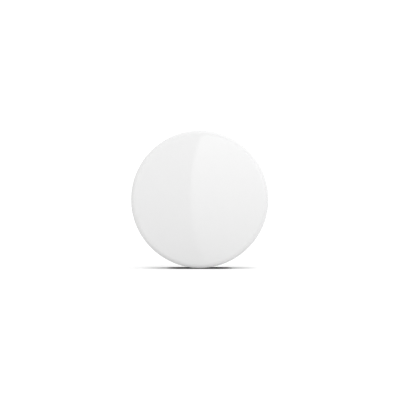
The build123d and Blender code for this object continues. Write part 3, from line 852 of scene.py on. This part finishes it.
def transformer_legs():
    low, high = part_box("network_transformer")
    pitch = (high.x - low.x) / LEG_COUNT
    reach = (high.y - low.y) / 2
    path = ((0, 0.5), (-0.3, 0.2), (0.3 - reach / MM, 0.15), (-0.1, 0.2), (0, 0.6))
    size = Matrix.Diagonal((LEG_WIDE, LEG_THICK, 1, 1))
    bm = bmesh.new()
    for side, z in ((-1, low.z), (1, high.z)):
        for n in range(LEG_COUNT):
            x = low.x + (n + 0.5) * pitch
            part = bmesh.new()
            place = Matrix.Translation((x, low.y + reach, z))
            bmesh.ops.create_grid(part, x_segments=1, y_segments=1, size=0.5, matrix=place @ size)
            end = part.faces[:]
            for dy, dz in path:
                made = bmesh.ops.extrude_face_region(part, geom=end)["geom"]
                bmesh.ops.translate(part, vec=(0, dy * MM, side * dz * MM), verts=only(VERT, made))
                end = only(FACE, made)
            bmesh.ops.recalc_face_normals(part, faces=part.faces)
            merge_in(bm, part)
    return bm


finish_piece(transformer_legs(), "transformer_legs", "case", slot="tin")


# %% [markdown]
# ## Finishes
# Every finish is a node material. What several of them share, such as the grain
# of a spark-eroded mould or the fine lines of rolled metal, is one node group
# that is built once and placed with its own values. The groups put out heights
# and masks only, and the shader itself stays in the material.

# %% Tools for node groups
def feed(tree, target, value):
    """Gives an input a plain value, or a link if the value is another node's output."""
    if isinstance(value, bpy.types.NodeSocket):
        tree.links.new(value, target)
    else:
        target.default_value = value


def add_node(tree, kind, **values):
    """A shader node whose inputs are given by name, with an underscore for a space."""
    node = tree.nodes.new(f"ShaderNode{kind}")
    for label, value in values.items():
        feed(tree, node.inputs[label.replace("_", " ")], value)
    return node


def add_group(tree, group, value):
    """Places a node group and sets its one input."""
    node = add_node(tree, "Group")
    node.node_tree = group
    feed(tree, node.inputs[0], value)
    return node


def add_math(tree, operation, first, second):
    """A Math node whose inputs are sockets or plain numbers."""
    node = add_node(tree, "Math")
    node.operation = operation
    feed(tree, node.inputs[0], first)
    feed(tree, node.inputs[1], second)
    return node.outputs[0]


def mix_colour(tree, share, first, second):
    """A blend of two colours: the first where share is 0, the second where it is 1."""
    node = add_node(tree, "Mix")
    node.data_type = "RGBA"
    for label, value in (("Factor", share), ("A", first), ("B", second)):
        feed(tree, node.inputs[label], value)
    return node.outputs["Result"]


def mix_shader(tree, share, first, second):
    """A blend of two shaders: the first where share is 0, the second where it is 1."""
    node = add_node(tree, "MixShader", Fac=share)
    feed(tree, node.inputs[1], first)
    feed(tree, node.inputs[2], second)
    return node.outputs[0]


def coordinates(tree, output="Object"):
    return add_node(tree, "TexCoord").outputs[output]


def new_group(name, inputs, outputs):
    """An empty shader node group with float inputs {name: default} and float outputs."""
    group = bpy.data.node_groups.new(name, "ShaderNodeTree")
    for label, default in inputs.items():
        socket = group.interface.new_socket(name=label, in_out="INPUT", socket_type="NodeSocketFloat")
        socket.default_value = default
    for label in outputs:
        group.interface.new_socket(name=label, in_out="OUTPUT", socket_type="NodeSocketFloat")
    return group, group.nodes.new("NodeGroupInput"), group.nodes.new("NodeGroupOutput")


def noise(tree, vector, scale, detail=2.0):
    """A noise texture. With a vector in metres, scale is about one grain per metre."""
    return add_node(tree, "TexNoise", Vector=vector, Scale=scale, Detail=detail).outputs["Fac"]


# %% [markdown]
# ### Mould grain
# Satin plastic gets its feel from the mould: the steel is spark-eroded to a
# fine random grain of about a fifth of a millimetre. Two noises of different
# size, added, look less regular than one.

# %% Mould grain group
def mould_grain_group():
    group, given, result = new_group(
        "mould_grain", {"Grains per metre": 4500.0}, ["Height", "Patches"]
    )
    place = coordinates(group)
    fine = noise(group, place, given.outputs["Grains per metre"], detail=3.0)
    coarse_scale = add_math(group, "MULTIPLY", given.outputs["Grains per metre"], 0.37)
    coarse = noise(group, place, coarse_scale, detail=1.0)
    feed(group, result.inputs["Height"], add_math(group, "ADD", fine, coarse))
    feed(group, result.inputs["Patches"], noise(group, place, 28.0, detail=3.0))
    return group


MOULD_GRAIN = mould_grain_group()

# %% [markdown]
# ### Rolled lines
# Sheet metal keeps the fine parallel lines of the rolls or of a brushing belt.
# Noise that is stretched fiftyfold along one axis gives such lines. Broader
# patches drive the shine, because sheet metal is never evenly clean.

# %% Rolled lines group
def rolled_lines_group():
    group, given, result = new_group(
        "rolled_lines", {"Lines per metre": 9000.0}, ["Height", "Patches"]
    )
    place = coordinates(group)
    stretch = add_node(group, "Mapping", Vector=place, Scale=(0.02, 1.0, 1.0))
    lines = noise(group, stretch.outputs["Vector"], given.outputs["Lines per metre"])
    feed(group, result.inputs["Height"], lines)
    feed(group, result.inputs["Patches"], noise(group, place, 60.0, detail=4.0))
    return group


ROLLED_LINES = rolled_lines_group()

# %% [markdown]
# ### Settled dust
# Even a new player carries a little dust on what faces up. The mask rises with
# the upward part of the surface's normal and is broken up by a noise.

# %% Settled dust group
def settled_dust_group():
    group, given, result = new_group("settled_dust", {"Amount": 0.3}, ["Mask"])
    split = add_node(group, "SeparateXYZ", Vector=add_node(group, "NewGeometry").outputs["Normal"])
    place = coordinates(group)
    upward = add_math(group, "MAXIMUM", split.outputs["Z"], 0.0)
    specks = add_math(group, "GREATER_THAN", noise(group, place, 2600.0), 0.68)
    haze = noise(group, place, 90.0, detail=4.0)
    both = add_math(group, "ADD", specks, add_math(group, "MULTIPLY", haze, 0.5))
    shade = add_math(group, "MULTIPLY", both, upward)
    feed(group, result.inputs["Mask"], add_math(group, "MULTIPLY", shade, given.outputs["Amount"]))
    return group


SETTLED_DUST = settled_dust_group()

# %% [markdown]
# ### Open cells
# Foam is a skin of tiny burst bubbles. Voronoi cells give them: the distance to
# the nearest cell point is a round pit, and its slow drift tints the surface.

# %% Open cells group
def open_cells_group():
    group, given, result = new_group(
        "open_cells", {"Cells per metre": 2500.0}, ["Height", "Patches"]
    )
    place = coordinates(group)
    cells = add_node(group, "TexVoronoi", Vector=place, Scale=given.outputs[0])
    feed(group, result.inputs["Height"], cells.outputs["Distance"])
    feed(group, result.inputs["Patches"], noise(group, place, 200.0, detail=3.0))
    return group


OPEN_CELLS = open_cells_group()

# %% [markdown]
# ### Board tracks
# Under its lacquer a circuit board carries copper tracks that run in parallel
# bundles, now level and now upright, with round plated holes between them. The
# board is divided into square tiles. A random number for each tile picks the
# direction of its tracks or leaves it bare, and the fraction of a coordinate
# gives the stripes.

# %% Board tracks group
def board_tracks_group():
    group, given, result = new_group(
        "board_tracks", {"Tracks per metre": 1100.0}, ["Tracks", "Holes"]
    )
    place = coordinates(group)
    tiles = add_node(group, "VectorMath")
    tiles.operation = "SNAP"
    feed(group, tiles.inputs[0], place)
    feed(group, tiles.inputs[1], (5.5 * MM, 1.0, 5.5 * MM))
    chance = add_node(group, "TexWhiteNoise", Vector=tiles.outputs[0]).outputs["Value"]
    split = add_node(group, "SeparateXYZ", Vector=place)
    stripes = []
    for axis in ("X", "Z"):
        along = add_math(group, "MULTIPLY", split.outputs[axis], given.outputs["Tracks per metre"])
        stripes.append(add_math(group, "LESS_THAN", add_math(group, "FRACT", along, 0.0), 0.42))
    upright = add_math(group, "GREATER_THAN", chance, 0.5)
    level = add_math(group, "SUBTRACT", 1.0, upright)
    upright_tracks = add_math(group, "MULTIPLY", stripes[0], upright)
    level_tracks = add_math(group, "MULTIPLY", stripes[1], level)
    either = add_math(group, "ADD", upright_tracks, level_tracks)
    second_chance = add_math(group, "FRACT", add_math(group, "MULTIPLY", chance, 7.0), 0.0)
    used = add_math(group, "GREATER_THAN", second_chance, 0.3)
    feed(group, result.inputs["Tracks"], add_math(group, "MULTIPLY", either, used))
    drilled = add_node(group, "TexVoronoi", Vector=place, Scale=320.0).outputs["Distance"]
    feed(group, result.inputs["Holes"], add_math(group, "LESS_THAN", drilled, 0.13))
    return group


BOARD_TRACKS = board_tracks_group()

# %% [markdown]
# ### One recipe for a finish
# Each finish below names a light and a dark shade of its colour, a roughness
# and how much that roughness drifts, and a relief with its depth. The recipe
# wires these the same way for all of them, and a finish adds what is its own.

# %% Finish recipe
FINISHES = {}
DUST_COLOUR = (0.55, 0.53, 0.5, 1.0)


def finish(slot, pattern, scale, light, dark, roughness, drift, depth, dust=0.0, **settings):
    """A node material: pattern group for relief and patches, two shades, drifting roughness."""
    material = bpy.data.materials.new(f"{slot}_finish")
    material.use_nodes = True
    tree = material.node_tree
    tree.nodes.clear()
    relief = add_group(tree, pattern, scale)
    patches = relief.outputs["Patches"]
    colour = mix_colour(tree, patches, (*dark, 1.0), (*light, 1.0))
    if dust:
        settled = add_group(tree, SETTLED_DUST, dust)
        colour = mix_colour(tree, settled.outputs["Mask"], colour, DUST_COLOUR)
    uneven = add_math(tree, "MULTIPLY", add_math(tree, "SUBTRACT", patches, 0.5), drift)
    bump = add_node(tree, "Bump", Distance=depth, Height=relief.outputs["Height"])
    shader = add_node(
        tree,
        "BsdfPrincipled",
        Base_Color=colour,
        Roughness=add_math(tree, "ADD", uneven, roughness),
        Normal=bump.outputs["Normal"],
        **settings,
    )
    add_node(tree, "OutputMaterial", Surface=shader.outputs["BSDF"])
    FINISHES[slot] = material
    return material


def grey(value):
    return (value, value, value)


# %% [markdown]
# ### Gloss white
# The front is a bright white plastic from a polished mould. Its reflections are
# clean, so its relief is only a wave of a thousandth of a millimetre or two that
# the eye sees as orange peel, and its white drifts by less than one per cent.

# %% Gloss white front
finish("front_gloss", MOULD_GRAIN, 260.0, grey(0.765), grey(0.76), 0.035, 0.01, 0.0000015, IOR=1.5)

# %% [markdown]
# ### Satin white and the other plastics
# The rear, its tray and the key come from a grained mould in a slightly greyer
# white. The foot is silicone rubber: duller, softer in its grain, and it picks
# up dust. Black socket bodies and chip packages are filled plastics, whose
# filler leaves a fine dry grain.

# %% Plastics and rubber
finish("rear_satin", MOULD_GRAIN, 4500.0, grey(0.77), grey(0.74), 0.42, 0.08, 0.00003, dust=0.06)
finish("foot_rubber", MOULD_GRAIN, 2600.0, grey(0.11), grey(0.085), 0.66, 0.12, 0.00005, dust=0.15)
finish("dark_screen", MOULD_GRAIN, 5200.0, grey(0.036), grey(0.024), 0.52, 0.14, 0.00001, dust=0.1)
finish("chip", MOULD_GRAIN, 9000.0, grey(0.03), grey(0.019), 0.5, 0.12, 0.000008)
finish("inductor", MOULD_GRAIN, 3800.0, grey(0.12), grey(0.07), 0.62, 0.16, 0.00004)
finish("socket_plastic", MOULD_GRAIN, 6500.0, grey(0.035), grey(0.022), 0.44, 0.12, 0.000012)
finish("switch_body", MOULD_GRAIN, 5200.0, grey(0.065), grey(0.045), 0.4, 0.14, 0.000012)
finish("switch_plunger", MOULD_GRAIN, 3400.0, (0.8, 0.79, 0.75), (0.74, 0.73, 0.69), 0.38, 0.08, 0.00001)
finish("thermal_pad", MOULD_GRAIN, 1900.0, (0.37, 0.47, 0.62), (0.31, 0.41, 0.56), 0.78, 0.1, 0.00006)
finish("foam", OPEN_CELLS, 2600.0, grey(0.038), grey(0.022), 0.94, 0.05, 0.00012)
finish("cable_jacket", MOULD_GRAIN, 3000.0, grey(0.1), grey(0.075), 0.36, 0.1, 0.000008)

# %% [markdown]
# ### Metals
# All the metals share the rolled lines. What tells them apart is their colour,
# how sharp their shine is, and how much that shine drifts: dull tin flows in
# soft patches, nickel is even, and gold flash is yellow and smooth.

# %% Metals
METALS = {
    "spreader_metal": (9000.0, (0.82, 0.83, 0.85), (0.72, 0.73, 0.76), 0.34, 0.16, 0.0000025),
    "tin": (4200.0, (0.76, 0.76, 0.73), (0.62, 0.62, 0.6), 0.32, 0.22, 0.000004),
    "capacitor": (7000.0, (0.78, 0.78, 0.79), (0.68, 0.68, 0.7), 0.24, 0.12, 0.000002),
    "gold": (5000.0, (1.0, 0.74, 0.36), (0.93, 0.64, 0.27), 0.22, 0.1, 0.000002),
    "socket_steel": (8000.0, (0.68, 0.68, 0.67), (0.58, 0.58, 0.58), 0.26, 0.14, 0.0000025),
    "ballast_steel": (1800.0, (0.5, 0.5, 0.52), (0.36, 0.37, 0.4), 0.42, 0.24, 0.00001),
    "screw_steel": (6000.0, (0.56, 0.56, 0.57), (0.42, 0.42, 0.44), 0.3, 0.18, 0.000003),
}
for slot, values in METALS.items():
    finish(slot, ROLLED_LINES, *values, Metallic=1.0)

# %% [markdown]
# ### Clear and tinted resins
# The light guide and the small light pipes are clear acrylic, which sends light
# through and bends it. The infrared receiver is cast in a resin that is nearly
# black to the eye, and the lamp in a milky one.

# %% Resins
finish(
    "clear_lens", MOULD_GRAIN, 500.0, (0.95, 0.97, 0.95), (0.9, 0.93, 0.9), 0.07, 0.04, 0.000001,
    IOR=1.49, Transmission_Weight=0.85,
)
finish("lamp", MOULD_GRAIN, 1500.0, (0.9, 0.86, 0.6), (0.84, 0.78, 0.5), 0.3, 0.08, 0.000004)
finish(
    "sensor_resin", MOULD_GRAIN, 800.0, (0.05, 0.03, 0.05), (0.03, 0.018, 0.03), 0.12, 0.06, 0.000001,
    Coat_Weight=0.4,
)

# %% [markdown]
# ### Circuit board
# The board adds its own layers to the recipe. Tracks show through the green
# lacquer as a lighter green and stand a little proud, and the plated holes are
# bare gold, so they are metal where the lacquer isn't.

# %% Circuit board
LACQUER_LIGHT, LACQUER_DARK = (0.012, 0.11, 0.055), (0.008, 0.085, 0.042)
TRACK_GREEN = (0.03, 0.2, 0.1, 1.0)
HOLE_GOLD = (0.95, 0.7, 0.33, 1.0)
TRACK_PROUD = 4.0


def board_finish():
    material = finish(
        "board", MOULD_GRAIN, 1500.0, LACQUER_LIGHT, LACQUER_DARK, 0.3, 0.1, 0.000004
    )
    tree = material.node_tree
    shader = next(n for n in tree.nodes if n.type == "BSDF_PRINCIPLED")
    lacquer = shader.inputs["Base Color"].links[0].from_socket
    layers = add_group(tree, BOARD_TRACKS, 1100.0)
    tracks, holes = layers.outputs["Tracks"], layers.outputs["Holes"]
    colour = mix_colour(tree, holes, mix_colour(tree, tracks, lacquer, TRACK_GREEN), HOLE_GOLD)
    feed(tree, shader.inputs["Base Color"], colour)
    feed(tree, shader.inputs["Metallic"], holes)
    bump = next(n for n in tree.nodes if n.type == "BUMP")
    grain = bump.inputs["Height"].links[0].from_socket
    proud = add_math(tree, "ADD", grain, add_math(tree, "MULTIPLY", tracks, TRACK_PROUD))
    feed(tree, bump.inputs["Height"], proud)


board_finish()

# %% [markdown]
# ### Dressing every piece
# The record names one material slot for each CAD node, and each new piece was
# given its slot when it was made, so the finishes go on in two short loops.

# %% Dress every piece
def dress(piece, slot):
    piece.data.materials.clear()
    piece.data.materials.append(FINISHES[slot])


for name, node in nodes.items():
    dress(node, slot_of[name])
for piece, slot in MADE:
    dress(piece, slot)
print("finishes", len(FINISHES), "new pieces", len(MADE))

# %% [markdown]
# ## The studio
# A white player on a white sweep is lit by a big soft surround. What gives it
# form is that the surround isn't even: it is brighter overhead than at the
# horizon and weaker on the left, so that the rolled rim darkens towards the
# lower left.

# %% Stage helpers
def stage_disc(name, radius, place, turn=0.0):
    """A round sheet that isn't part of the player, facing up or turned about X."""
    bm = bmesh.new()
    facing = Matrix.Translation(place) @ Matrix.Rotation(turn, 4, "X")
    bmesh.ops.create_circle(bm, cap_ends=True, segments=256, radius=radius, matrix=facing)
    mesh = bpy.data.meshes.new(name)
    bm.to_mesh(mesh)
    bm.free()
    sheet = bpy.data.objects.new(name, mesh)
    bpy.context.scene.collection.objects.link(sheet)
    return sheet


def empty_material(name):
    """A material without any nodes, and its node tree."""
    material = bpy.data.materials.new(name)
    material.use_nodes = True
    material.node_tree.nodes.clear()
    return material, material.node_tree


def clear_shader(tree):
    return add_node(tree, "BsdfTransparent").outputs[0]


# %% [markdown]
# ### Sweep
# The player stands on a sheet of white paper. Seen directly the paper is clean
# white. What it throws back at the player is weaker, because round the small
# set the studio is dark. Close under the player almost no light gets in, and
# two ambient occlusion nodes, one short and one longer, paint that shade into
# the paper's colour as a painted contact shadow. Each is given by its reach and
# by the power that its openness is raised to.
# From below the paper is clear, so that the underside can be looked at too.

# %% White sweep
PAPER_WHITE = 0.93
PAPER_BOUNCE = 0.66
PAPER_MOTTLE = 0.01
CONTACT_SHADE = ((6 * MM, 3.2), (16 * MM, 0.5))
SWEEP_R = 12.0


def paper():
    material, tree = empty_material("paper")
    patches = add_group(tree, MOULD_GRAIN, 900.0).outputs["Patches"]
    openness = 1.0
    # Painted contact shadow: ambient occlusion darkens the paper's own colour under the player.
    for reach, power in CONTACT_SHADE:
        closeness = add_node(tree, "AmbientOcclusion", Distance=reach)
        closeness.samples = 8
        shade = add_math(tree, "POWER", closeness.outputs["AO"], power)
        openness = add_math(tree, "MULTIPLY", shade, openness)
    tones = []
    for white, shade in ((PAPER_BOUNCE, 1.0), (PAPER_WHITE, openness)):
        low, high = white - PAPER_MOTTLE, white + PAPER_MOTTLE
        fibre = add_node(tree, "MapRange", Value=patches, To_Min=low, To_Max=high)
        tone = add_math(tree, "MULTIPLY", fibre.outputs["Result"], shade)
        tones.append(add_node(tree, "BsdfDiffuse", Color=tone).outputs[0])
    seen = mix_shader(tree, add_node(tree, "LightPath").outputs["Is Camera Ray"], *tones)
    below = add_node(tree, "NewGeometry").outputs["Backfacing"]
    surface = mix_shader(tree, below, seen, clear_shader(tree))
    add_node(tree, "OutputMaterial", Surface=surface)
    return material


sweep = stage_disc("white_sweep", SWEEP_R, (0, 0, 0))
sweep.visible_glossy = False
sweep.data.materials.append(paper())

# %% [markdown]
# ### Surround
# The world is the surround. The camera sees it as plain white. Matt surfaces
# are lit by a soft gradient that is brightest above, in front and on the right.
# Gloss mirrors a weaker one, which is brightest low on the right, so the rolled
# rim stays a shade darker than the paper behind it.

# %% Surround light
BACKDROP = 1.2
LIGHT = {"level": 1.155, "right": 0.27, "front": 0.26, "above": 0.14}
SHEEN = {"level": 0.82, "right": 0.27, "front": 0.0, "above": -0.15}


def surround():
    world = bpy.data.worlds.new("surround")
    bpy.context.scene.world = world
    world.use_nodes = True
    tree = world.node_tree
    tree.nodes.clear()
    split = add_node(tree, "SeparateXYZ", Vector=coordinates(tree, "Generated"))
    ray = add_node(tree, "LightPath").outputs

    def glow(strength):
        return add_node(tree, "Background", Color=(1, 1, 1, 1), Strength=strength).outputs[0]

    def gradient(level, right, front, above):
        for axis, share in (("X", right), ("Y", -front), ("Z", above)):
            part = add_math(tree, "MULTIPLY", split.outputs[axis], share)
            level = add_math(tree, "ADD", part, level)
        return glow(level)

    lit = mix_shader(tree, ray["Is Glossy Ray"], gradient(**LIGHT), gradient(**SHEEN))
    surface = mix_shader(tree, ray["Is Camera Ray"], lit, glow(BACKDROP))
    add_node(tree, "OutputWorld", Surface=surface)


surround()

# %% [markdown]
# ### Camera
# A still-life lens of about 135 mm stands eleven disc widths away, level with
# the middle of the disc but for a fraction of a millimetre, which frames it a
# touch high and left. From there the floor shows only as a thin line.

# %% Camera
CAMERA_AWAY = 1.1
CAMERA_RIGHT = 0.2 * MM
CAMERA_LOW = 0.5 * MM
LENS_MM = 134.9


def camera():
    data = bpy.data.cameras.new("still_camera")
    data.lens = LENS_MM
    data.sensor_width = 36.0
    data.clip_start = 0.01
    data.clip_end = 50.0
    seat = bpy.data.objects.new("still_camera", data)
    bpy.context.scene.collection.objects.link(seat)
    seat.location = (CAMERA_RIGHT, -CAMERA_AWAY, AXIS.z - CAMERA_LOW)
    seat.rotation_euler = (math.pi / 2, 0, 0)
    bpy.context.scene.camera = seat
    bpy.context.scene.view_settings.view_transform = "Standard"


camera()

# %% [markdown]
# ### Cards for the gloss
# Two cards stand behind the camera, and only gloss sees them. The wide one is
# bright at its top and dark at its bottom, which shades the dome from top to
# bottom. The round one overlaps it from the right, and its edge draws a clean
# curved line down the dome. A point of the dome mirrors a point of the card
# that lies SPREAD times further from the axis.

# %% Cards
CARD_AWAY = 1.2
SPREAD = 1 + CARD_AWAY / CAMERA_AWAY + 2 * CARD_AWAY / DOME_SPHERE_R
EDGE_X = -6.8 * MM
EDGE_R = 124 * MM
EDGE_Z = 3.5 * MM
FACE_REACH = 43 * MM
WIDE_CARD_R = 1.0
CARD_GAP = 0.05


def card(name, radius, centre_x, centre_z, away, bottom, top, clear):
    """A glowing round card whose glow runs from bottom to top over the part the face mirrors."""
    sheet = stage_disc(name, radius, (centre_x, -away, AXIS.z + centre_z), math.pi / 2)
    sheet.visible_camera = False
    sheet.visible_diffuse = False
    sheet.visible_shadow = False
    material, tree = empty_material(name)
    ramp = add_node(
        tree,
        "MapRange",
        Value=add_node(tree, "SeparateXYZ", Vector=coordinates(tree)).outputs["Z"],
        From_Min=AXIS.z - FACE_REACH * SPREAD,
        From_Max=AXIS.z + FACE_REACH * SPREAD,
        To_Min=bottom,
        To_Max=top,
    )
    surface = add_node(tree, "Emission", Strength=ramp.outputs["Result"]).outputs[0]
    if clear:
        both = add_node(tree, "AddShader")
        feed(tree, both.inputs[0], surface)
        feed(tree, both.inputs[1], clear_shader(tree))
        surface = both.outputs[0]
    add_node(tree, "OutputMaterial", Surface=surface)
    sheet.data.materials.append(material)


card("wide_card", WIDE_CARD_R, 0.0, 0.0, CARD_AWAY + CARD_GAP, 0.1, 1.6, clear=False)
edge_x, edge_z = (EDGE_X + EDGE_R) * SPREAD, EDGE_Z * SPREAD
card("round_card", EDGE_R * SPREAD, edge_x, edge_z, CARD_AWAY, 0.5, 1.5, clear=True)
print("cards stand", CARD_AWAY, "m in front of the player")
